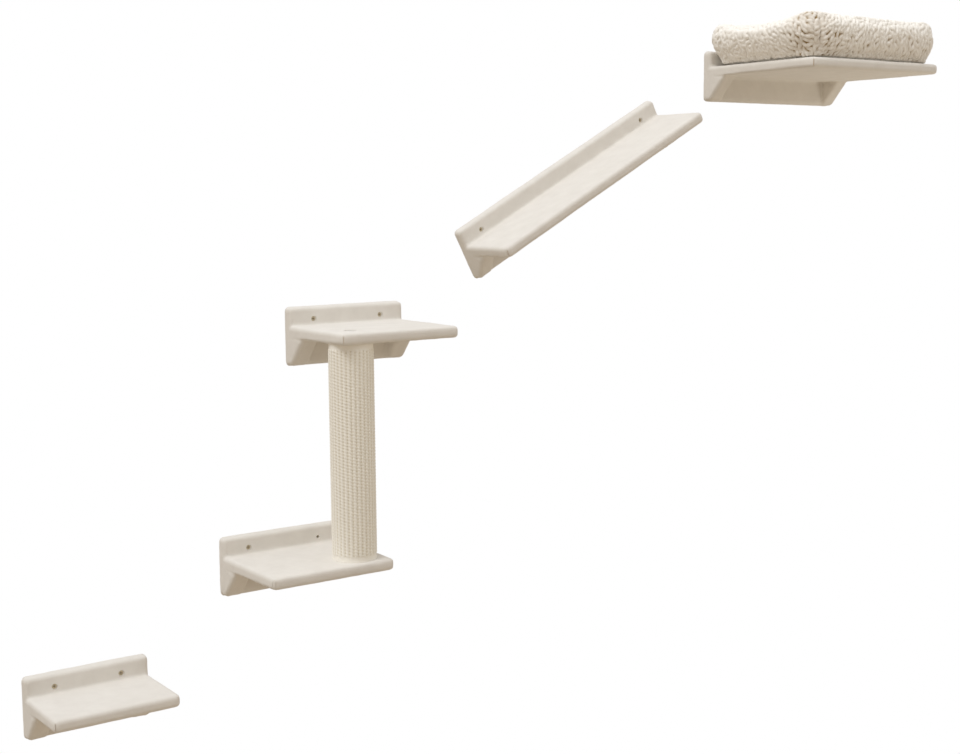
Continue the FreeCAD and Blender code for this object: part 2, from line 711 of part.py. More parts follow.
def finish(doc, parts):
    """Recompute, test every object and every piece, then write one file per piece."""
    doc.recompute()
    for item in doc.Objects:
        if "Invalid" in item.State or "Error" in item.State:
            raise ValueError("%s failed: %s" % (item.Name, item.State))
    for part in parts:
        if part.Shape.isNull() or not part.Shape.isValid() or not part.Shape.Solids:
            raise ValueError("%s has no sound shape" % part.Label)
    os.makedirs("parts", exist_ok=True)
    for part in parts:
        part.Shape.exportStep("parts/%s.step" % part.Label)
        print("%-28s %2d solids %12.1f mm3" % (part.Label, len(part.Shape.Solids),
                                              part.Shape.Volume))


def main():
    doc = FreeCAD.newDocument("cat_tree")
    sheet = make_sheet(doc)
    units = make_units()
    parts = []
    for unit in units.values():
        pieces = make_unit(doc, sheet, unit)
        if unit.name == "lower_perch":
            bore_for_post(unit, pieces[1], pieces[4],
                          unit.length + " - Sizes.post_from_lower_end")
        if unit.name == "upper_perch":
            bore_for_post(unit, pieces[1], pieces[4], "Sizes.post_from_upper_end")
        parts += pieces
    parts += make_post(doc)
    parts += make_all_fasteners(doc, units.values())
    nest = Nest(sheet)
    parts += [make_rim(doc, sheet, nest), make_pad(doc, sheet, nest)]
    finish(doc, parts)


main()
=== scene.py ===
# %% [markdown]
# A wall mounted cat tree. Five plush covered wall units climb from the lower left to the upper
# right: a step, two perches with a ribbed scratching post between them, a sloping ramp and a
# shelf with a curly lambskin bed. The CAD frame brings every board, screw and plug at its true
# place. This lesson dresses them: plush over the boards, a ribbed wrap round the post, and locks
# of lambskin on the bed.

# %% Load the frame
import bpy
import bmesh
import math
import numpy as np
from mathutils import Matrix, Vector
from mathutils.kdtree import KDTree


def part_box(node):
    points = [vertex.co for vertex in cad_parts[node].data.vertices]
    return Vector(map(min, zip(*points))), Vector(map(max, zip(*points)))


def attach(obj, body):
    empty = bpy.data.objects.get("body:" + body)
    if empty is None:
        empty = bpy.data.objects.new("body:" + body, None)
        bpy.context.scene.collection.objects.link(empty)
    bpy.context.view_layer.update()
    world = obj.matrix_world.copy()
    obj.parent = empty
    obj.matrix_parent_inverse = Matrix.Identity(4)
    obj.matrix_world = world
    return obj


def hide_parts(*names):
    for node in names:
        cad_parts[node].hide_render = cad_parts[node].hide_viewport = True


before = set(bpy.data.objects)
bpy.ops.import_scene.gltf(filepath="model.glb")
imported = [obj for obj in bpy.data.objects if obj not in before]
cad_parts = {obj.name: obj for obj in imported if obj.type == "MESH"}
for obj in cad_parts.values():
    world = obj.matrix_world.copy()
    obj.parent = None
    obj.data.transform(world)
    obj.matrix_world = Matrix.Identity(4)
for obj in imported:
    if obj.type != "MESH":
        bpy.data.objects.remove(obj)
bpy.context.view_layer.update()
print("CAD nodes:", len(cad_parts))

# %% [markdown]
# The camera comes first, because every later look is judged through it. Its place and turn were
# solved from the photograph together with the sizes of the units. Lens and sensor give the same
# narrow field of view as a 56 mm lens on a full frame camera.

# %% Camera
CAMERA_PLACE = (-1.02727, -3.003, 1.02185)
SENSOR_WIDTH = 36
LENS = 56.23


def aim(yaw, pitch, roll):
    """Rotation matrix of a camera that looks along +Y at yaw 0, in degrees."""
    yaw, pitch, roll = (math.radians(v) for v in (yaw, pitch, roll))
    forward = Vector((math.sin(yaw) * math.cos(pitch), math.cos(yaw) * math.cos(pitch),
                      math.sin(pitch)))
    right = Vector((math.cos(yaw), -math.sin(yaw), 0))
    up = right.cross(forward)
    right, up = (math.cos(roll) * right + math.sin(roll) * up,
                 -math.sin(roll) * right + math.cos(roll) * up)
    return Matrix((right, up, -forward)).transposed()


bpy.ops.object.camera_add(location=CAMERA_PLACE)
camera = bpy.context.object
camera.name = "camera"
camera.rotation_euler = aim(yaw=35.46, pitch=-7.13, roll=-0.43).to_euler()
camera.data.sensor_width = SENSOR_WIDTH
camera.data.lens = LENS
bpy.context.scene.camera = camera
bpy.context.scene.view_settings.view_transform = "Standard"
print("camera at", tuple(round(v, 3) for v in camera.location))

# %% [markdown]
# The set hangs in front of nothing but white, as in a catalogue. To the camera and to mirrors the
# world is plain white. To everything else it is a softly lit room: neutral from above and warmer
# and dimmer from the side and from below, where light has bounced off a wooden floor. That is why
# the undersides of the shelves look tan and their tops almost white. The pale floor lies well
# below the step.

# %% World and floor
def node(tree, kind, **values):
    """Add a shader node and set it up."""
    made = tree.nodes.new(kind)
    for key, value in values.items():
        setattr(made, key, value)
    return made


def white_for_the_camera(tree):
    """A mask that is 1 for rays from the camera, from mirrors and through glass."""
    path = node(tree, "ShaderNodeLightPath")
    glossy = node(tree, "ShaderNodeMath", operation="MAXIMUM")
    either = node(tree, "ShaderNodeMath", operation="MAXIMUM")
    tree.links.new(path.outputs["Is Camera Ray"], glossy.inputs[0])
    tree.links.new(path.outputs["Is Glossy Ray"], glossy.inputs[1])
    tree.links.new(glossy.outputs[0], either.inputs[0])
    tree.links.new(path.outputs["Is Transmission Ray"], either.inputs[1])
    return either.outputs[0]


ROOM_LIGHT = ((0.00, (0.41, 0.34, 0.25)),  # from below
              (0.50, (0.45, 0.385, 0.315)),     # from the sides
              (1.00, (0.74, 0.74, 0.75)))       # from above


def make_world():
    """Plain white to the camera, and to all else a room lit by height."""
    world = bpy.data.worlds.new("white_room")
    world.use_nodes = True
    bpy.context.scene.world = world
    tree = world.node_tree
    tree.nodes.clear()
    where = node(tree, "ShaderNodeTexCoord")
    split = node(tree, "ShaderNodeSeparateXYZ")
    height = node(tree, "ShaderNodeMapRange")
    height.inputs["From Min"].default_value = -1    # straight down, and 1 is straight up
    shades = node(tree, "ShaderNodeValToRGB")
    while len(shades.color_ramp.elements) < len(ROOM_LIGHT):
        shades.color_ramp.elements.new(0.5)
    for element, (position, colour) in zip(shades.color_ramp.elements, ROOM_LIGHT):
        element.position = position
        element.color = (*colour, 1)
    soft = node(tree, "ShaderNodeBackground")
    white = node(tree, "ShaderNodeBackground")
    white.inputs["Color"].default_value = (1, 1, 1, 1)
    mix = node(tree, "ShaderNodeMixShader")
    out = node(tree, "ShaderNodeOutputWorld")
    tree.links.new(where.outputs["Generated"], split.inputs[0])
    tree.links.new(split.outputs["Z"], height.inputs["Value"])
    tree.links.new(height.outputs[0], shades.inputs[0])
    tree.links.new(shades.outputs[0], soft.inputs["Color"])
    tree.links.new(white_for_the_camera(tree), mix.inputs[0])
    tree.links.new(soft.outputs[0], mix.inputs[1])
    tree.links.new(white.outputs[0], mix.inputs[2])
    tree.links.new(mix.outputs[0], out.inputs[0])


FLOOR_BOUNCE = (0.50, 0.41, 0.30)  # its colour to the light that it sends back up
FLOOR_PALE = (0.52, 0.52, 0.51)  # its colour to the camera, which also sees it glow
FLOOR_GLOW = 0.52


def make_floor(low, high, height):
    """A floor that looks almost white to the camera, shadows too, and bounces warm light."""
    bpy.ops.mesh.primitive_plane_add(
        size=1, location=((low[0] + high[0]) / 2, (low[1] + high[1]) / 2, height))
    floor = bpy.context.object
    floor.name = "floor"
    floor.scale = (high[0] - low[0], high[1] - low[1], 1)
    bpy.ops.object.transform_apply(location=True, rotation=False, scale=True)
    material = bpy.data.materials.new("pale_floor")
    material.use_nodes = True
    tree = material.node_tree
    tree.nodes.clear()
    bounce = node(tree, "ShaderNodeBsdfDiffuse")
    bounce.inputs["Color"].default_value = (*FLOOR_BOUNCE, 1)
    pale = node(tree, "ShaderNodeBsdfDiffuse")
    pale.inputs["Color"].default_value = (*FLOOR_PALE, 1)
    glow = node(tree, "ShaderNodeEmission")
    glow.inputs["Color"].default_value = (1, 1, 1, 1)
    glow.inputs["Strength"].default_value = FLOOR_GLOW
    seen = node(tree, "ShaderNodeAddShader")
    mix = node(tree, "ShaderNodeMixShader")
    out = node(tree, "ShaderNodeOutputMaterial")
    tree.links.new(pale.outputs[0], seen.inputs[0])
    tree.links.new(glow.outputs[0], seen.inputs[1])
    tree.links.new(white_for_the_camera(tree), mix.inputs[0])
    tree.links.new(bounce.outputs[0], mix.inputs[1])
    tree.links.new(seen.outputs[0], mix.inputs[2])
    tree.links.new(mix.outputs[0], out.inputs[0])
    floor.data.materials.append(material)
    return floor


make_world()
floor = make_floor(low=(-1.6, -3.4), high=(3.8, 0.6), height=-1.3)
print("floor at", floor.data.vertices[0].co.z)

# %% [markdown]
# The main light falls from high on the left, almost along the wall. It is a sun lamp, because a
# sun lights all five units alike, which an area lamp near the set would not, and a wide angle
# makes its shadows soft. A second one, faint and warm, lifts the faces that look into the room
# from the front right. Three small panels lift the underside of the bed shelf, which hangs highest
# above the floor, the top of the bed, and the upper perch with its post.

# %% Lamps
def make_sun(name, towards, strength, spread, colour):
    """A sun lamp that shines along a direction."""
    bpy.ops.object.light_add(type="SUN", location=(0, 0, 3))
    lamp = bpy.context.object
    lamp.name = name
    lamp.data.energy = strength
    lamp.data.angle = math.radians(spread)
    lamp.data.color = colour
    lamp.rotation_euler = Vector(towards).to_track_quat("-Z", "Y").to_euler()


def make_panel(name, place, target, power, size, colour):
    """A square lamp near the set, outside the camera's view."""
    bpy.ops.object.light_add(type="AREA", location=place)
    lamp = bpy.context.object
    lamp.name = name
    lamp.data.energy = power
    lamp.data.size = size
    lamp.data.color = colour
    lamp.rotation_euler = (Vector(target) - Vector(place)).to_track_quat("-Z", "Y").to_euler()


WHITE, WARM, FAINTLY_WARM = (1, 1, 1), (1, 0.94, 0.83), (1, 0.96, 0.86)

make_sun("key_lamp", towards=(0.50, 0.02, -0.9), strength=1.11, spread=26, colour=WHITE)
make_sun("front_lamp", towards=(-0.60, 0.72, -0.2), strength=0.16, spread=60, colour=WARM)
make_panel("lift_lamp", place=(2.8, -0.45, 0.55), target=(2.1, -0.25, 1.37),
           power=1.8, size=0.4, colour=FAINTLY_WARM)
make_panel("bed_lamp", place=(1.6, -0.75, 2.25), target=(2.1, -0.25, 1.45),
           power=1.8, size=0.5, colour=WHITE)
make_panel("perch_lamp", place=(-0.05, -0.8, 1.7), target=(0.55, -0.14, 0.55),
           power=2.2, size=0.5, colour=WHITE)

# %% [markdown]
# Small tools for modelling in edit mode. Faces and edges are chosen by where they lie, never by
# their number, because numbers change with every cut. A finished piece sits at the origin with
# its place in its mesh, as the CAD nodes do.

# %% Edit mode helpers
NEAR = 1e-5  # points no further apart than this count as one


def start_piece(name):
    """Rename the new primitive and go into edit mode with nothing selected."""
    piece = bpy.context.object
    piece.name = name
    piece.data.name = name
    bpy.ops.object.mode_set(mode="EDIT")
    bpy.ops.mesh.select_all(action="DESELECT")
    return piece


def pick(piece, kind, test):
    """Select and count the faces, edges or verts of the piece in edit mode that pass a test."""
    bpy.ops.mesh.select_mode(type={"faces": "FACE", "edges": "EDGE", "verts": "VERT"}[kind])
    bpy.ops.mesh.select_all(action="DESELECT")
    mesh = bmesh.from_edit_mesh(piece.data)
    mesh.normal_update()
    chosen = [item for item in getattr(mesh, kind) if test(item)]
    for item in chosen:
        item.select_set(True)
    mesh.select_flush_mode()
    bmesh.update_edit_mesh(piece.data)
    return len(chosen)


def cut(plane, normal):
    """Cut the whole mesh along a plane and keep both sides."""
    bpy.ops.mesh.select_all(action="SELECT")
    bpy.ops.mesh.bisect(plane_co=plane, plane_no=normal)


def only(piece):
    """Make this the one selected and active object, in object mode."""
    if bpy.context.object and bpy.context.object.mode == "EDIT":
        bpy.ops.object.mode_set(mode="OBJECT")
    bpy.ops.object.select_all(action="DESELECT")
    piece.select_set(True)
    bpy.context.view_layer.objects.active = piece


def finish_modifier(piece, kind, **values):
    """Add a modifier, set it up and apply it."""
    only(piece)
    modifier = piece.modifiers.new(kind.lower(), kind)
    for key, value in values.items():
        setattr(modifier, key, value)
    bpy.ops.object.modifier_apply(modifier=modifier.name)


def place(piece, left, bottom, tilt=0.0):
    """Hang a piece modelled at the origin where it belongs, turned about its lower left corner."""
    only(piece)
    piece.rotation_euler = (0, -math.radians(tilt), 0)
    piece.location = (left, 0, bottom)
    bpy.ops.object.transform_apply(location=True, rotation=True, scale=True)


def box_at(name, low, high):
    """A cube primitive between two corners, ready in edit mode."""
    size = [b - a for a, b in zip(low, high)]
    bpy.ops.mesh.primitive_cube_add(size=1, location=[(a + b) / 2 for a, b in zip(low, high)],
                                    scale=size)
    bpy.ops.object.transform_apply(location=True, rotation=False, scale=True)
    return start_piece(name)


def coordinates(piece):
    """The places of a mesh's points, a row each."""
    flat = np.zeros(len(piece.data.vertices) * 3)
    piece.data.vertices.foreach_get("co", flat)
    return flat.reshape(-1, 3)


def set_coordinates(piece, points):
    piece.data.vertices.foreach_set("co", np.asarray(points, float).ravel())
    piece.data.update()


def normals(piece):
    """The outward direction at each point of a mesh."""
    flat = np.zeros(len(piece.data.vertices) * 3)
    piece.data.vertices.foreach_get("normal", flat)
    return flat.reshape(-1, 3)


def write_attribute(piece, name, values):
    """Keep one number per point of the mesh for a material to read."""
    attribute = piece.data.attributes.new(name, "FLOAT", "POINT")
    attribute.data.foreach_set("value", np.asarray(values, np.float32))


# %% [markdown]
# All five wall units share one profile, so one set of numbers describes them: a back board with a
# shelf near its top and a triangular bracket under each end of the shelf. The plush is 4 mm thick
# on every visible face and folded 3 mm flat behind the board. Lengths are metres.

# %% The shared profile
BACK_HEIGHT = 0.131  # the back board in its plush
BACK_DEPTH = 0.025
SHELF_TOP = 0.090  # heights above the unit's lower edge
SHELF_BOTTOM = 0.064
BRACKET_WIDTH = 0.044
BRACKET_REACH = 0.058  # how far a bracket stands out from the back board, under the shelf
PILE = 0.004  # the plush on a visible face
FLANGE = 0.003  # the plush folded behind the back board
BOARD = 0.018  # thickness of the boards
WINDOW_EDGE = 0.032  # width of the plush behind the board, round the part that stays bare
SCREW_HEIGHT = 0.104
SCREW_INSET = 0.062  # from either end of the unit
RAMP_LEFT, RAMP_BOTTOM, RAMP_LENGTH = 1.0955, 0.8045, 0.704
RAMP_TILT = 28.0


def unit_place(name):
    """Left end, bottom edge, length, depth and tilt of a wall unit.

    A level unit's are read from the box round its CAD cover, but of the tilted ramp only its
    depth, so the rest are driving dimensions.
    """
    low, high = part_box(name + "_cover")
    if name == "ramp":
        return RAMP_LEFT, RAMP_BOTTOM, RAMP_LENGTH, -low.y, RAMP_TILT
    return low.x, low.z, high.x - low.x, -low.y, 0.0


UNITS = {name: unit_place(name)
         for name in ("step", "lower_perch", "upper_perch", "ramp", "bed_shelf")}
for name, values in UNITS.items():
    print("%-12s" % name, ["%.4f" % v for v in values])

# %% [markdown]
# The cover's shape is pulled out of a single cube. Two cuts mark the shelf on the back board's
# front face, and an extrusion draws it out into the room. Two more cuts mark the brackets, which
# are drawn out too, and then the lower front edge is pushed back to the board so that the block
# becomes a wedge. The same steps with smaller numbers give the space that the boards fill.

# %% Model a unit's block
SLOPE_SHARE = 0.4  # of a skin's thickness, by which a bracket's sloping front draws in
WEDGE_FOOT = 0.0015  # how far its lower edge still stands out
PAST_THE_WALL = 0.002  # so that the window goes right through


def unit_block(name, length, depth, skin, window=False):
    """The shape of one wall unit, drawn in by a skin on every outer face."""
    left, right = skin, length - skin
    back = -FLANGE if skin else 0.0
    face = -(BACK_DEPTH - skin)
    low, high = skin, BACK_HEIGHT - skin
    under, over = SHELF_BOTTOM + skin, SHELF_TOP - skin
    inner = BRACKET_WIDTH - skin
    piece = box_at(name, (left, face, low), (right, back, high))
    for height in (under, over):
        cut((0, 0, height), (0, 0, 1))
    for across in (inner, length - inner):
        cut((across, 0, 0), (1, 0, 0))
    pick(piece, "faces", lambda f: f.normal.y < -0.9
         and under < f.calc_center_median().z < over)
    bpy.ops.mesh.extrude_region_move(
        TRANSFORM_OT_translate={"value": (0, -(depth - skin) - face, 0)})
    reach = BRACKET_REACH - SLOPE_SHARE * skin
    for side in (lambda x: x < inner + NEAR, lambda x: x > length - inner - NEAR):
        pick(piece, "faces", lambda f: f.normal.y < -0.9 and f.calc_center_median().z < under
             and side(f.calc_center_median().x))
        bpy.ops.mesh.extrude_region_move(TRANSFORM_OT_translate={"value": (0, -reach, 0)})
        pick(piece, "verts", lambda v: v.co.y < face - NEAR and v.co.z < low + NEAR
             and side(v.co.x))
        bpy.ops.transform.translate(value=(0, reach - WEDGE_FOOT, 0))
    if window:
        pick(piece, "faces", lambda f: f.normal.y > 0.9)
        bpy.ops.mesh.inset(thickness=WINDOW_EDGE - skin, depth=0)
        bpy.ops.mesh.extrude_region_move(
            TRANSFORM_OT_translate={"value": (0, FLANGE + PAST_THE_WALL, 0)})
    bpy.ops.mesh.select_all(action="SELECT")
    bpy.ops.mesh.remove_doubles(threshold=NEAR)
    bpy.ops.mesh.normals_make_consistent(inside=False)
    bpy.ops.object.mode_set(mode="OBJECT")
    return piece


# %% [markdown]
# Plush has no hard edges. The outer edges are bevelled in three goes, because they differ: wide
# at the shelf's two front corners, narrow where the fabric folds to the back, and in between
# elsewhere. A voxel remesh then welds everything into one even skin, and a little smoothing lets
# the inner corners sag as glued fabric does.

# %% Soften the block
CORNER_ROUND = 0.011  # at the shelf's two front corners, seen from above
FOLD_ROUND = 0.003  # where the fabric folds to the back
EDGE_ROUND = 0.008  # everywhere else
AT_FACE = 0.0005  # an edge this near to a face lies in it
SHARP = math.radians(35)
SKIN_VOXEL = 0.003


def bevel_edges(piece, test, width, segments):
    """Round the edges that bend outwards, where the angle is positive, and pass a test."""
    bpy.ops.object.mode_set(mode="EDIT")
    count = pick(piece, "edges", lambda e: e.calc_face_angle_signed(0) > SHARP and test(e))
    if count:
        bpy.ops.mesh.bevel(offset=width, segments=segments, affect="EDGES", profile=0.5)
    bpy.ops.object.mode_set(mode="OBJECT")
    return count


def soften(piece, depth):
    """Round the block in three goes, weld it into one skin and count the edges of each go."""
    def upright_front(edge):
        a, b = (v.co for v in edge.verts)
        return max(a.y, b.y) < -depth + AT_FACE and abs(a.x - b.x) < NEAR

    def at_back(edge):
        return min(v.co.y for v in edge.verts) > -AT_FACE

    corners = bevel_edges(piece, upright_front, CORNER_ROUND, segments=5)
    back = bevel_edges(piece, at_back, FOLD_ROUND, segments=2)
    rest = bevel_edges(piece, lambda e: not at_back(e), EDGE_ROUND, segments=4)
    finish_modifier(piece, "REMESH", mode="VOXEL", voxel_size=SKIN_VOXEL)
    finish_modifier(piece, "SMOOTH", factor=0.5, iterations=4)
    return corners, back, rest


# %% [markdown]
# Hand-covered boards are never quite flat: the fabric ripples by a fraction of a millimetre over
# the width of a hand. A cloud texture read in the piece's own place gives that, the same way on
# every run.

# %% Ripples in the fabric
def cloud(name, size, depth=2):
    """A cloudy texture with lumps of a given size."""
    texture = bpy.data.textures.new(name, "CLOUDS")
    texture.noise_scale = size
    texture.noise_depth = depth
    return texture


def ruffle(piece, texture, height, lift=0.0):
    """Move the surface in and out by a texture, and outwards by a constant lift."""
    finish_modifier(piece, "DISPLACE", texture=texture, strength=height,
                    mid_level=0.5 - lift / height, texture_coords="LOCAL")


ripples = cloud("ripples", size=0.075)
grain = cloud("pile_clumps", size=0.012, depth=1)
print("textures:", ripples.name, "and", grain.name)


# %% [markdown]
# The wall screws sink into the plush. Each presses a small cone-shaped dimple round its head. The
# post's bolts sit in round wells, and where the fabric is folded round the shelf's front corners,
# the fold leaves a fine line. Cones and thin slits are cut out of the skin for all three.

# %% Cutters for screws, folds and bolts
DIMPLE = (0.0051, 0.0080)  # radii at the board and at the face of the plush
SUNK_DIMPLE = (0.0030, 0.0042)  # the same where the plush almost closes over the screw
DIMPLE_DEPTH = 0.007
DIMPLE_MIDDLE = 0.0033  # in front of the board
SLIT_LENGTH, SLIT_WIDTH = 0.0090, 0.0016
SLIT_OUT = 0.0031  # from the round corner's face to the slit's middle
DEEP_SLIT_OUT = 0.0020  # the same on the bed shelf, whose folds are deeper
SLIT_UNDER, SLIT_SHORT = 0.001, 0.006  # below the shelf's underside and below its top
WELL = (0.0128, 0.0152)  # radii at the bottom and at the mouth
WELL_DEPTH = 0.006
WELL_MIDDLE = 0.001  # inside the shelf's face


def round_cutter(name, radius, top_radius, height, middle, axis):
    """A cone along Z, or along Y with its top towards the room."""
    bpy.ops.mesh.primitive_cone_add(vertices=32, radius1=radius, radius2=top_radius, depth=height,
                                    location=middle,
                                    rotation=(math.pi / 2, 0, 0) if axis == "Y" else (0, 0, 0))
    bpy.ops.object.transform_apply(location=True, rotation=True, scale=True)
    piece = bpy.context.object
    piece.name = name
    return piece


def screw_cutters(name, length):
    """Cones over the two wall screws of a unit, in the unit's own frame."""
    front = -(FLANGE + BOARD)
    cutters = []
    for x in (SCREW_INSET, length - SCREW_INSET):
        sunk = name == "lower_perch" and x > length / 2
        at_board, at_face = SUNK_DIMPLE if sunk else DIMPLE
        middle = (x, front - DIMPLE_MIDDLE, SCREW_HEIGHT)
        cutters.append(round_cutter("dimple", at_board, at_face, DIMPLE_DEPTH, middle, "Y"))
    return cutters


def fold_cutters(name, length, depth):
    """Thin slits where the fabric is folded round the shelf's two front corners."""
    cutters = []
    low = (-SLIT_LENGTH / 2, -SLIT_WIDTH / 2, SHELF_BOTTOM - SLIT_UNDER)
    high = (SLIT_LENGTH / 2, SLIT_WIDTH / 2, SHELF_TOP - SLIT_SHORT)
    reach = CORNER_ROUND + (DEEP_SLIT_OUT if name == "bed_shelf" else SLIT_OUT)
    for side, middle in ((-1, CORNER_ROUND), (1, length - CORNER_ROUND)):
        twice = name == "lower_perch" and side == -1
        for degrees in (24, 60) if twice else (45,):
            angle = math.radians(degrees)
            out = (side * math.cos(angle), -math.sin(angle))
            fold = box_at("fold", low, high)
            only(fold)
            fold.rotation_euler = (0, 0, math.atan2(out[1], out[0]))
            fold.location = (middle + out[0] * reach, CORNER_ROUND - depth + out[1] * reach, 0)
            bpy.ops.object.transform_apply(location=True, rotation=True, scale=True)
            cutters.append(fold)
    return cutters


def bolt_cutters(name):
    """A well for the post's bolt head, open upwards in the upper perch and downwards below."""
    low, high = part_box("post_tube")
    x, y = (low.x + high.x) / 2, (low.y + high.y) / 2
    bottom = UNITS[name][1]
    deep, mouth = WELL
    if name == "upper_perch":
        middle = (x, y, bottom + SHELF_TOP - WELL_MIDDLE)
        return [round_cutter("well", deep, mouth, WELL_DEPTH, middle, "Z")]
    if name == "lower_perch":
        middle = (x, y, bottom + SHELF_BOTTOM + WELL_MIDDLE)
        return [round_cutter("well", mouth, deep, WELL_DEPTH, middle, "Z")]
    return []


def carve(piece, cutter):
    """Cut one object out of another and remove it."""
    finish_modifier(piece, "BOOLEAN", object=cutter, operation="DIFFERENCE", solver="EXACT")
    bpy.data.objects.remove(cutter)


def heal(piece):
    """Weld what the cuts left doubled, remove slivers and count edges that stay open."""
    only(piece)
    bpy.ops.object.mode_set(mode="EDIT")
    bpy.ops.mesh.select_all(action="SELECT")
    bpy.ops.mesh.remove_doubles(threshold=NEAR)
    bpy.ops.mesh.dissolve_degenerate(threshold=NEAR)
    bpy.ops.mesh.delete_loose()
    open_edges = pick(piece, "edges", lambda e: not e.is_manifold)
    bpy.ops.object.mode_set(mode="OBJECT")
    return open_edges


def join(pieces, name):
    """Make several objects one."""
    only(pieces[0])
    for piece in pieces[1:]:
        piece.select_set(True)
    bpy.ops.object.join()
    pieces[0].name = name
    return pieces[0]


# %% [markdown]
# A cover is one skin that wraps a unit's four boards. All five go through the same steps, so one
# function makes them. The block is rounded, hung in its place and ruffled, and what went past the
# wall is pressed flat against it. Then the space for the boards, the dimples, the folds and the
# wells are cut out.

# %% Make the five covers
RIPPLE_HEIGHT, RIPPLE_LIFT = 0.0016, 0.0004
CLUMP_HEIGHT = 0.0005
CREASE = math.radians(50)


def make_cover(name):
    """The plush cover of one wall unit."""
    left, bottom, length, depth, tilt = UNITS[name]
    piece = unit_block(name + "_plush_cover", length, depth, skin=0.0)
    softened = soften(piece, depth)
    place(piece, left, bottom, tilt)
    ruffle(piece, ripples, RIPPLE_HEIGHT, RIPPLE_LIFT)
    ruffle(piece, grain, CLUMP_HEIGHT)
    points = coordinates(piece)
    points[:, 1] = np.minimum(points[:, 1], 0.0)
    set_coordinates(piece, points)
    boards = unit_block("boards_space", length, depth, skin=PILE, window=True)
    place(boards, left, bottom, tilt)
    carve(piece, boards)
    dimples = join(screw_cutters(name, length) + fold_cutters(name, length, depth), "dimples")
    place(dimples, left, bottom, tilt)
    carve(piece, dimples)
    for well in bolt_cutters(name):
        carve(piece, well)
    open_edges = heal(piece)
    bpy.ops.object.shade_smooth_by_angle(angle=CREASE)
    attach(piece, "root")
    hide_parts(name + "_cover")
    print(piece.name, "bevelled", softened, "open edges", open_edges,
          "faces", len(piece.data.polygons))
    return piece


covers = {name: make_cover(name) for name in UNITS}

# %% [markdown]
# The post is wrapped in a thick ribbed fabric of twisted cotton yarn. About 31 ribs run down its
# length, and a plain hem closes either end. A cylinder with eight columns of faces to a rib is cut
# into fine rings, and each point then moves inwards by its place on the rib and on the twist of
# the yarn. Real relief is used because the ribs show in the post's outline too.

# %% The post's wrap
RIBS = 31
RIB_COLUMNS = 8
RIB_DEPTH = 0.0016  # also the depth of the hem
RING_CUTS = 18  # in each of two rounds, because one call stops at 100 cuts
BRAID_PITCH = 0.0070  # length of one twist of the yarn
BRAID_DEPTH = 0.0004
BRAID_STAGGER, BRAID_SLANT = 2.1, 1.2  # from rib to rib and across a rib, in radians
HEM = 0.011  # height of the hem
HEM_FADE = 0.003  # over which the ribs rise from it
WEAVE_THREADS = 6 * RIBS  # fine threads round the hem
WEAVE_DEPTH = 0.00012
LIP_PLACE, LIP_WIDTH, LIP_HEIGHT = 0.0015, 0.0012, 0.0007  # a bead along the hem's edge
WRAP_THICKNESS = 0.0034


def line_inside(wrap, middle, share):
    """Close the fabric with a plain inner wall: draw both rims in and bridge them."""
    only(wrap)
    bpy.ops.object.mode_set(mode="EDIT")
    pick(wrap, "edges", lambda e: e.is_boundary)
    bpy.ops.mesh.extrude_edges_move()
    bpy.ops.transform.resize(value=(share, share, 1), center_override=middle)
    bpy.ops.mesh.bridge_edge_loops()
    bpy.ops.mesh.select_all(action="SELECT")
    bpy.ops.mesh.normals_make_consistent(inside=False)
    bpy.ops.object.mode_set(mode="OBJECT")


def make_wrap():
    """The post's fabric sleeve."""
    low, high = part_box("post_wrap")
    middle = (low + high) / 2
    radius = (high.x - low.x) / 2
    height = high.z - low.z
    bpy.ops.mesh.primitive_cylinder_add(vertices=RIBS * RIB_COLUMNS, radius=radius, depth=height,
                                        end_fill_type="NOTHING", location=middle)
    bpy.ops.object.transform_apply(location=True, rotation=False, scale=False)
    wrap = start_piece("post_ribbed_wrap")
    for shortest in (0.5 * height, 0.01 * height):
        pick(wrap, "edges", lambda e: abs(e.verts[0].co.z - e.verts[1].co.z) > shortest)
        bpy.ops.mesh.subdivide(number_cuts=RING_CUTS)
    bpy.ops.object.mode_set(mode="OBJECT")
    points = coordinates(wrap)
    across = points[:, :2] - np.array(middle[:2])
    angle = np.arctan2(across[:, 1], across[:, 0])
    up = points[:, 2] - low.z
    phase = angle * RIBS
    rib = np.floor(phase / (2 * np.pi) + 0.5)
    crown = ((1 + np.cos(phase)) / 2) ** 0.6
    braid = np.sin(2 * np.pi * up / BRAID_PITCH + BRAID_STAGGER * rib
                   + BRAID_SLANT * np.sin(phase))
    from_end = np.minimum(up, height - up)
    ribbed = np.clip((from_end - HEM) / HEM_FADE, 0, 1)
    lip = np.exp(-((from_end - LIP_PLACE) / LIP_WIDTH) ** 2)
    weave = 1 - np.sin(angle * WEAVE_THREADS)
    furrow = RIB_DEPTH * (1 - crown) + BRAID_DEPTH * (1 - braid)
    plain = RIB_DEPTH + WEAVE_DEPTH * weave - LIP_HEIGHT * lip
    inwards = ribbed * furrow + (1 - ribbed) * plain
    across *= ((radius - inwards) / np.linalg.norm(across, axis=1))[:, None]
    points[:, :2] = across + np.array(middle[:2])
    set_coordinates(wrap, points)
    # How deep each point lies in a furrow, kept for the shade that the material paints there.
    write_attribute(wrap, "furrow", ribbed * (1 - crown) * (0.65 - 0.35 * braid))
    line_inside(wrap, middle, 1 - WRAP_THICKNESS / radius)
    bpy.ops.object.shade_smooth()
    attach(wrap, "root")
    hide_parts("post_wrap")
    print(wrap.name, "faces", len(wrap.data.polygons))
    return wrap


wrap = make_wrap()

# %% [markdown]
# The bed is a stuffed ring with a pad inside, both in curly lambskin plush. The CAD solids are
# only its plain form. A copy of each is drawn in a little, remeshed evenly and blown up for twenty
# frames by Blender's cloth with gravity off, which rounds it the way filling does. How far any
# point may move is capped, so that the bed keeps its size.

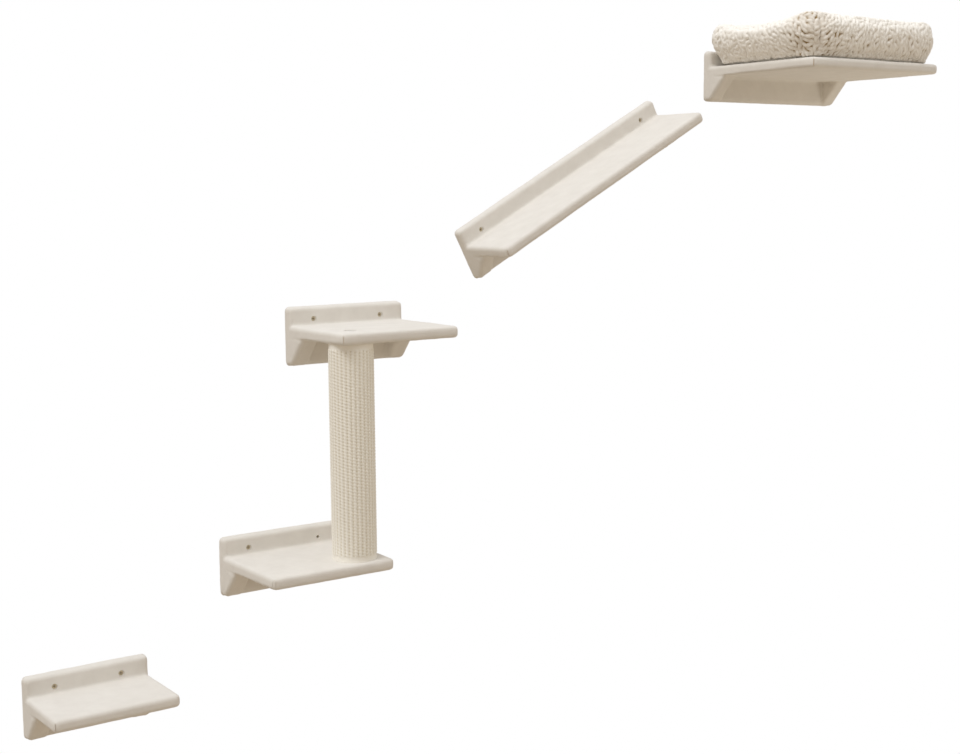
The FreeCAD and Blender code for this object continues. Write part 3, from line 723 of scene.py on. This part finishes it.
# %% Stuff the bed
DRAWN_IN = 0.006
STUFFED_VOXEL = 0.005
PRESSURE = 4
FRAMES = 20
FARTHEST = 0.005  # the cap on how far a point may move


def puffed(source, name):
    """A stuffed copy of a CAD solid."""
    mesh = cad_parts[source].data.copy()
    piece = bpy.data.objects.new(name, mesh)
    bpy.context.scene.collection.objects.link(piece)
    only(piece)
    bpy.ops.object.mode_set(mode="EDIT")
    bpy.ops.mesh.select_all(action="SELECT")
    bpy.ops.mesh.remove_doubles(threshold=NEAR)
    bpy.ops.transform.shrink_fatten(value=-DRAWN_IN)
    bpy.ops.object.mode_set(mode="OBJECT")
    finish_modifier(piece, "REMESH", mode="VOXEL", voxel_size=STUFFED_VOXEL)
    start = coordinates(piece)
    cloth = piece.modifiers.new("filling", "CLOTH")
    cloth.settings.use_pressure = True
    cloth.settings.uniform_pressure_force = PRESSURE
    cloth.settings.effector_weights.gravity = 0
    scene = bpy.context.scene
    for number in range(1, FRAMES + 1):
        scene.frame_set(number)
    only(piece)
    bpy.ops.object.modifier_apply(modifier=cloth.name)
    scene.frame_set(1)
    moved = coordinates(piece) - start
    far = np.linalg.norm(moved, axis=1, keepdims=True)
    set_coordinates(piece, start + moved * np.minimum(1, FARTHEST / np.maximum(far, 1e-9)))
    print(name, "swelled by up to %.1f mm" % (1000 * min(far.max(), FARTHEST)))
    finish_modifier(piece, "SUBSURF", levels=1, render_levels=1)
    return piece


rim = puffed("bed_rim", "bed_curly_rim")
pad = puffed("bed_pad", "bed_curly_pad")

# %% [markdown]
# Filling pushes a bed's corners out, and its walls slump where nothing holds them. The ring is
# highest at its front left corner, stays full along the front and sags along its other sides.
# Heights are given at eight places round the ring, and every point is scaled between them. The
# wall also leans in at its top and foot, its left side bulges, and a seam is sunk into the front
# left corner.

# %% Shape the rim
# Front left, front, front right, right, back right, back, back left, left, in millimetres
RIM_PLACES = ((-1, -1), (0, -1), (1, -1), (1, 0), (1, 1), (0, 1), (-1, 1), (-1, 0))
RIM_IN_FRAME = (111, 111, 111, 102, 111, 102, 111, 102)
RIM_HEIGHTS = (121, 118, 113, 106, 112, 107, 113, 105)
RIM_STRETCH = 1.04  # along the wall
CAD_TURN, RIM_TURN = 0.043, 0.020  # radii of the ring's corners, seen from above
TURNS_FROM, TURNS_TO = 0.004, 0.05  # heights between which they tighten
TOP_LEAN, FOOT_LEAN, LEFT_BULGE = 0.005, 0.007, 0.010
LEFT_WALL, LEFT_FADE = 0.03, 0.02  # from the left end, and over which its effects fade
SEAM_DEPTH, SEAM_WIDTH, SEAM_REACH = 0.006, 0.006, 0.06


def between(places, values, x, y):
    """Blend values given at a square's corners and the middles of its sides."""
    total = np.zeros_like(x)
    for (a, b), value in zip(places, values):
        if a and b:
            weight = (1 + x * a) * (1 + y * b) * (x * a + y * b - 1) / 4
        elif b:
            weight = (1 - x * x) * (1 + y * b) / 2
        else:
            weight = (1 + x * a) * (1 - y * y) / 2
        total += weight * value
    return total


def smooth_step(values, start, end):
    """0 up to the start, 1 from the end on and a soft rise between."""
    share = np.clip((values - start) / (end - start), 0, 1)
    return share * share * (3 - 2 * share)


def in_box(points, low, high):
    """Where points lie across and along a box, -1 to 1."""
    return [(points[:, i] * 2 - low[i] - high[i]) / (high[i] - low[i]) for i in (0, 1)]


def on_the_left(points, low):
    """1 on the ring's left wall and 0 elsewhere."""
    return smooth_step(low[0] + LEFT_WALL - points[:, 0], 0.0, LEFT_FADE)


def square_up(points, low, high, turn, tighter):
    """Push the ring's round corners out towards a tighter turn, more so higher up."""
    middle = (low[:2] + high[:2]) / 2
    reach = (high[:2] - low[:2]) / 2 - turn
    local = points[:, :2] - middle
    corner = np.abs(local) - reach
    inside = (corner > 0).all(axis=1)
    far = np.linalg.norm(corner, axis=1)
    u = corner / np.maximum(far, 1e-9)[:, None]
    offset = turn - tighter
    both = u.sum(axis=1)
    root = np.sqrt(np.maximum((offset * both) ** 2 - 2 * offset ** 2 + tighter ** 2, 0))
    edge = np.minimum(offset * both + root, turn / np.maximum(u.max(axis=1), 1e-9))
    share = np.clip(far / turn, 0, 1) ** 2 * smooth_step(points[:, 2] - low[2], TURNS_FROM, TURNS_TO)
    grown = far * (1 + (edge / turn - 1) * share)
    moved = middle + np.sign(local) * (reach + u * grown[:, None])
    points[:, :2] = np.where(inside[:, None], moved, points[:, :2])


def draw_in(piece, low, high):
    """Lean the wall in at its top and foot, let its left side bulge, and sink in the seam."""
    points, upright = coordinates(piece), normals(piece)
    rise = (points[:, 2] - low[2]) / (high[2] - low[2])
    middle = (low[:2] + high[:2]) / 2
    outer = ((points[:, :2] - middle) * upright[:, :2]).sum(axis=1) > 0
    bulge = LEFT_BULGE * on_the_left(points, low) * smooth_step(rise, 0.2, 0.7)
    lean = TOP_LEAN * smooth_step(rise, 0.65, 1.0) + FOOT_LEAN * (1 - smooth_step(rise, 0, 0.45))
    lean = (lean - bulge) * outer
    points[:, :2] -= np.where(np.abs(upright[:, :2]) > 0.2, np.sign(upright[:, :2]), 0) * (
        lean[:, None] * np.abs(upright[:, :2]))
    off_seam = ((points[:, 0] - low[0]) - (points[:, 1] - low[1])) / math.sqrt(2)
    at_corner = (points[:, :2] < low[:2] + SEAM_REACH).all(axis=1) & outer
    groove = np.exp(-(off_seam / SEAM_WIDTH) ** 2)
    sunk = SEAM_DEPTH * groove * smooth_step(rise, 0.1, 0.5) * at_corner
    points[:, :2] += (sunk / math.sqrt(2))[:, None]
    set_coordinates(piece, points)


def shape_rim(piece):
    """Give the stuffed ring its corners, heights and lean."""
    low, high = (np.array(v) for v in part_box("bed_rim"))
    points = coordinates(piece)
    square_up(points, low, high, CAD_TURN, RIM_TURN)
    middle_x = (low[0] + high[0]) / 2
    points[:, 0] = middle_x + RIM_STRETCH * (points[:, 0] - middle_x)
    x, y = in_box(points, low, high)
    scale = between(RIM_PLACES, RIM_HEIGHTS, x, y) / between(RIM_PLACES, RIM_IN_FRAME, x, y)
    points[:, 2] = low[2] + (points[:, 2] - low[2]) * scale
    set_coordinates(piece, points)
    draw_in(piece, low, high)


shape_rim(rim)
print("rim top at %.1f mm" % (1000 * coordinates(rim)[:, 2].max()))

# %% [markdown]
# Lambskin plush is a coat of soft locks, each about a finger's width and twice as long. They are
# scattered over the surface no closer than a set gap. Each lock is a low dome that lies along the
# fall of the coat, downwards and towards the seam at the front left corner. A point of the mesh
# rises to the highest lock over it, and what lies between the locks stays deep. Shade is painted
# there later, by an attribute that keeps each point's depth, weighted most at the seam and on the
# lower wall and least on the top band and the left side, where light falls.

# %% Locks of lambskin
LOCK_GAP = 0.0090
LOCK_LENGTH, LOCK_WIDTH = 0.0118, 0.0060  # from a lock's middle to its tip and to its side
LOCK_BODY, LOCK_TIP = 0.78, 0.22  # its height at the middle, and what its tip adds
RIM_LOCKS, PAD_LOCKS = 0.0076, 0.006  # heights of the highest locks
NEAREST = 7  # how many locks are tried over a point
SEAM_PULL, PULL_FADE = 1.6, 0.09  # how strongly and how far the seam draws the coat
STRAY = 0.55  # how unevenly the locks lie
ALL_OVER, LOW_DOWN, AT_SEAM = 0.15, 0.75, 1.1  # how strongly the gaps between locks are painted with shade
SEAM_FADE = 0.07
LOCK_VOXEL = 0.002
SPARE = 0.034  # how far the bed may pass its CAD solid's ends
BACK_SPARE = 0.0006
SEED = 7


def scatter(points, gap, seed):
    """Choose points at random that keep at least a gap from one another."""
    cells = {}
    chosen = []
    keys = np.floor(points / gap).astype(int)
    near = [(a, b, c) for a in (-1, 0, 1) for b in (-1, 0, 1) for c in (-1, 0, 1)]
    for index in np.random.default_rng(seed).permutation(len(points)):
        x, y, z = keys[index]
        spot = points[index]
        close = any(((spot - points[other]) ** 2).sum() < gap * gap
                    for a, b, c in near for other in cells.get((x + a, y + b, z + c), ()))
        if not close:
            cells.setdefault((x, y, z), []).append(index)
            chosen.append(index)
    return np.array(chosen)


def lay_of_the_coat(points, upright, seam, seed):
    """The direction in which each lock lies, along the surface."""
    rng = np.random.default_rng(seed)
    to_seam = np.append(seam, 0) - points * (1, 1, 0)
    far = np.linalg.norm(to_seam, axis=1, keepdims=True)
    pull = SEAM_PULL * np.exp(-far / PULL_FADE) * to_seam / np.maximum(far, 1e-6)
    fall = np.array((0, 0, -1.0)) + pull
    fall = fall + rng.normal(0, STRAY, points.shape)
    fall -= upright * (fall * upright).sum(axis=1, keepdims=True)
    return fall / np.maximum(np.linalg.norm(fall, axis=1, keepdims=True), 1e-6)


def add_locks(piece, tall, seam, seed):
    """Raise the surface into locks and keep how deep each point lies, for painted shade in the gaps.
    """
    points, upright = coordinates(piece), normals(piece)
    roots = scatter(points, LOCK_GAP, seed)
    along = lay_of_the_coat(points[roots], upright[roots], seam, seed + 1)
    beside = np.cross(upright[roots], along)
    heights = np.random.default_rng(seed + 2).uniform(0.7, 1.0, len(roots))
    tree = KDTree(len(roots))
    for number, spot in enumerate(points[roots]):
        tree.insert(spot, number)
    tree.balance()
    over = np.array([[hit[1] for hit in tree.find_n(spot, NEAREST)] for spot in points])
    away = points[:, None, :] - points[roots][over]
    length = (away * along[over]).sum(axis=2) / LOCK_LENGTH
    width = (away * beside[over]).sum(axis=2) / LOCK_WIDTH
    dome = np.sqrt(np.clip(1 - length ** 2 - width ** 2, 0, 1)) * (LOCK_BODY + LOCK_TIP * length)
    raised = (dome * heights[over]).max(axis=1)
    set_coordinates(piece, points + upright * (raised * tall)[:, None])
    # Painted shade: each point's depth between the locks, weighted by where it lies, for the
    # material to tint tan.
    write_attribute(piece, "gap_shade", (1 - np.clip(raised, 0, 1)) * gap_shade_weight(points, seam))
    return len(roots)


def gap_shade_weight(points, seam):
    """How strongly the gaps get painted shade: least on the upper band and the left side, where
    light falls, more lower down, most at the seam.
    """
    low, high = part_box("bed_rim")
    rise = (points[:, 2] - low.z) / (high.z - low.z)
    away = np.linalg.norm(points[:, :2] - seam, axis=1)
    x, y = in_box(points, low, high)
    on_outside = smooth_step(np.maximum(np.abs(x), np.abs(y)), 0.8, 0.88)
    left_share = 1 - 0.6 * on_the_left(points, low)
    lower = (1 - smooth_step(rise, 0.45, 0.78)) * left_share * on_outside
    near_seam = np.exp(-(away / SEAM_FADE) ** 2)
    return np.clip(ALL_OVER + LOW_DOWN * lower + AT_SEAM * near_seam, 0, 1.2)


def settle(piece, source):
    """Keep a soft piece on its shelf, off the back board and near its CAD solid's box."""
    low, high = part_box(source)
    points = coordinates(piece)
    points[:, 2] = np.maximum(points[:, 2], low.z)
    points[:, 0] = np.clip(points[:, 0], low.x - SPARE, high.x + SPARE)
    points[:, 1] = np.clip(points[:, 1], low.y - SPARE, high.y + BACK_SPARE)
    set_coordinates(piece, points)


low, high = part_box("bed_rim")
seam = np.array((low.x + 0.01, low.y + 0.01))
for piece, source, tall in ((rim, "bed_rim", RIM_LOCKS), (pad, "bed_pad", PAD_LOCKS)):
    finish_modifier(piece, "REMESH", mode="VOXEL", voxel_size=LOCK_VOXEL)
    locks = add_locks(piece, tall, seam, SEED)
    finish_modifier(piece, "SMOOTH", factor=0.3, iterations=1)
    settle(piece, source)
    only(piece)
    bpy.ops.object.shade_smooth()
    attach(piece, "bed")
    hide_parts(source)
    print(piece.name, "locks", locks, "faces", len(piece.data.polygons))

# %% [markdown]
# Now the finishes. Short plush is matt, with a very fine nap and faint brushed patches where the
# pile leans another way. The same nap group serves the covers, the wrap and the bed.

# %% Material helpers
MIX_FACTOR, MIX_A, MIX_B, MIX_RESULT = 0, 6, 7, 2  # a Mix node's sockets where it mixes colours


def make_material(name, colour, roughness):
    """A plain material, its node tree and its shader."""
    material = bpy.data.materials.new(name)
    material.use_nodes = True
    tree = material.node_tree
    shader = tree.nodes["Principled BSDF"]
    shader.inputs["Base Color"].default_value = (*colour, 1)
    shader.inputs["Roughness"].default_value = roughness
    return material, tree, shader


def srgb(red, green, blue):
    """A colour as a screen shows it, 0 to 255, turned into the linear values shaders use."""
    return tuple(v / 12.92 if v <= 0.04045 else ((v + 0.055) / 1.055) ** 2.4
                 for v in (red / 255, green / 255, blue / 255))


def make_nap_group():
    """Fine fibre noise and broad brushed patches, as a colour factor and a height."""
    group = bpy.data.node_groups.new("nap", "ShaderNodeTree")
    for name, kind, value in (("Vector", "NodeSocketVector", None),
                              ("Fibre Scale", "NodeSocketFloat", 900),
                              ("Patch Scale", "NodeSocketFloat", 18)):
        socket = group.interface.new_socket(name, in_out="INPUT", socket_type=kind)
        if value is not None:
            socket.default_value = value
    for name in ("Patches", "Height"):
        group.interface.new_socket(name, in_out="OUTPUT", socket_type="NodeSocketFloat")
    into = node(group, "NodeGroupInput")
    out = node(group, "NodeGroupOutput")
    fibre = node(group, "ShaderNodeTexNoise")
    fibre.inputs["Detail"].default_value = 2
    patch = node(group, "ShaderNodeTexNoise")
    patch.inputs["Detail"].default_value = 4
    patch.inputs["Roughness"].default_value = 0.6
    for texture, scale in ((fibre, "Fibre Scale"), (patch, "Patch Scale")):
        group.links.new(into.outputs["Vector"], texture.inputs["Vector"])
        group.links.new(into.outputs[scale], texture.inputs["Scale"])
    group.links.new(patch.outputs["Fac"], out.inputs["Patches"])
    group.links.new(fibre.outputs["Fac"], out.inputs["Height"])
    return group


nap_group = make_nap_group()


def add_nap(tree, shader, light, dark, fibre, patch, bump, distance):
    """Mix two shades by the nap's patches and roughen the surface by its fibres."""
    where = node(tree, "ShaderNodeTexCoord")
    nap = node(tree, "ShaderNodeGroup", node_tree=nap_group)
    nap.inputs["Fibre Scale"].default_value = fibre
    nap.inputs["Patch Scale"].default_value = patch
    shades = node(tree, "ShaderNodeMix", data_type="RGBA")
    shades.inputs[MIX_A].default_value = (*dark, 1)
    shades.inputs[MIX_B].default_value = (*light, 1)
    lift = node(tree, "ShaderNodeBump")
    lift.inputs["Strength"].default_value = bump
    lift.inputs["Distance"].default_value = distance
    tree.links.new(where.outputs["Object"], nap.inputs["Vector"])
    tree.links.new(nap.outputs["Patches"], shades.inputs[MIX_FACTOR])
    tree.links.new(shades.outputs[MIX_RESULT], shader.inputs["Base Color"])
    tree.links.new(nap.outputs["Height"], lift.inputs["Height"])
    tree.links.new(lift.outputs["Normal"], shader.inputs["Normal"])
    return shades


def dress(pieces, material):
    """Give pieces one material."""
    for piece in pieces:
        piece.data.materials.clear()
        piece.data.materials.append(material)


def tint_by(tree, shader, shades, amount, deep):
    """Mix a deeper colour into the shades by another node's output, as painted shade."""
    tint = node(tree, "ShaderNodeMix", data_type="RGBA")
    tint.inputs[MIX_B].default_value = (*deep, 1)
    tree.links.new(amount, tint.inputs[MIX_FACTOR])
    tree.links.new(shades.outputs[MIX_RESULT], tint.inputs[MIX_A])
    tree.links.new(tint.outputs[MIX_RESULT], shader.inputs["Base Color"])


def paint_shade_by(tree, shader, shades, name, deep, power):
    """Paint shade into the surface where its attribute is high, such as between ribs or locks."""
    depth = node(tree, "ShaderNodeAttribute", attribute_name=name)
    curve = node(tree, "ShaderNodeMath", operation="POWER")
    curve.inputs[1].default_value = power
    tree.links.new(depth.outputs["Fac"], curve.inputs[0])
    tint_by(tree, shader, shades, curve.outputs[0], deep)


print("nap group nodes:", len(nap_group.nodes))

# %% [markdown]
# The plush is a greyish cream with a little sheen. The cotton is warmer, with beige shade painted
# between its ribs, and the lambskin is nearly white, with tan shade painted in the gaps between its
# locks.

# %% Plush, wrap and lambskin
plush, tree, shader = make_material("short_plush", srgb(236, 234, 230), 0.95)
shader.inputs["Sheen Weight"].default_value = 0.08
shader.inputs["Sheen Roughness"].default_value = 0.6
add_nap(tree, shader, srgb(236, 233, 227), srgb(220, 216, 209),
        fibre=1100, patch=26, bump=0.4, distance=0.0007)
dress(covers.values(), plush)

yarn, tree, shader = make_material("twisted_cotton", srgb(248, 246, 238), 0.9)
shades = add_nap(tree, shader, srgb(252, 250, 243), srgb(242, 238, 227),
                 fibre=1500, patch=230, bump=0.4, distance=0.0004)
# Painted shade: the furrows between the ribs and the dips of the twist are tinted beige.
paint_shade_by(tree, shader, shades, "furrow", srgb(214, 206, 183), power=1.3)
dress([wrap], yarn)

lambskin, tree, shader = make_material("lambskin", srgb(248, 246, 241), 0.95)
shader.inputs["Sheen Weight"].default_value = 0.1
shades = add_nap(tree, shader, srgb(254, 253, 250), srgb(246, 242, 233),
                 fibre=700, patch=60, bump=0.5, distance=0.001)
# Painted shade: tan in the gaps between locks, most at the seam and low down, least on the top band
# and left side.
paint_shade_by(tree, shader, shades, "gap_shade", srgb(160, 134, 90), power=2.3)
dress([rim, pad], lambskin)
print("soft finishes:", plush.name, yarn.name, lambskin.name)

# %% [markdown]
# The frame's boards, tube, plugs and metal parts keep their CAD meshes. Bare plywood shows behind
# each unit. Of the rest only the screw heads are seen from the front, as small dull discs with
# shade painted into their recess, which is found by how far back a point lies.

# %% Wood, cardboard and metals on the frame's own pieces
RECESS_FROM, RECESS_DARK = -0.0209, -0.0204  # object Y where the recess's painted shade starts and where it is darkest


def cad(*words):
    """The frame's pieces whose names hold one of some words."""
    return [o for n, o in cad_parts.items() if any(w in n for w in words)]


wood, tree, shader = make_material("plywood", srgb(205, 176, 132), 0.7)
add_nap(tree, shader, srgb(216, 188, 146), srgb(190, 158, 112),
        fibre=600, patch=14, bump=0.15, distance=0.0004)
dress(cad("board", "bracket", "plug"), wood)

cardboard, tree, shader = make_material("cardboard", srgb(176, 148, 112), 0.85)
add_nap(tree, shader, srgb(186, 158, 120), srgb(160, 132, 98),
        fibre=500, patch=30, bump=0.2, distance=0.0004)
dress(cad("post_tube"), cardboard)

zinc, tree, shader = make_material("zinc_plate", srgb(196, 196, 192), 0.38)
shader.inputs["Metallic"].default_value = 1
add_nap(tree, shader, srgb(206, 206, 202), srgb(182, 182, 178),
        fibre=900, patch=300, bump=0.1, distance=0.0002)
dress(cad("post_threaded", "post_washers", "post_bolts"), zinc)

yellow, tree, shader = make_material("yellow_zinc", srgb(172, 152, 116), 0.45)
shader.inputs["Metallic"].default_value = 1
add_nap(tree, shader, srgb(184, 164, 128), srgb(140, 120, 86),
        fibre=900, patch=260, bump=0.1, distance=0.0002)
dress(cad("frame_screws"), yellow)

heads, tree, shader = make_material("screw_heads", srgb(184, 172, 148), 0.5)
shader.inputs["Metallic"].default_value = 0.6
shades = add_nap(tree, shader, srgb(196, 184, 160), srgb(168, 154, 128),
                 fibre=900, patch=260, bump=0.1, distance=0.0002)
# Painted shade: each head's recess is darkened by how far back its points lie.
where = node(tree, "ShaderNodeTexCoord")
split = node(tree, "ShaderNodeSeparateXYZ")
depth = node(tree, "ShaderNodeMapRange")
depth.inputs["From Min"].default_value = RECESS_FROM
depth.inputs["From Max"].default_value = RECESS_DARK
tree.links.new(where.outputs["Object"], split.inputs[0])
tree.links.new(split.outputs["Y"], depth.inputs["Value"])
tint_by(tree, shader, shades, depth.outputs[0], srgb(66, 52, 38))
dress(cad("wall_screws"), heads)

nylon, tree, shader = make_material("nylon", srgb(150, 152, 154), 0.5)
add_nap(tree, shader, srgb(158, 160, 162), srgb(140, 142, 144),
        fibre=500, patch=60, bump=0.08, distance=0.0003)
dress(cad("wall_plugs"), nylon)
print("hard finishes:", [m.name for m in (wood, cardboard, zinc, yellow, heads, nylon)])
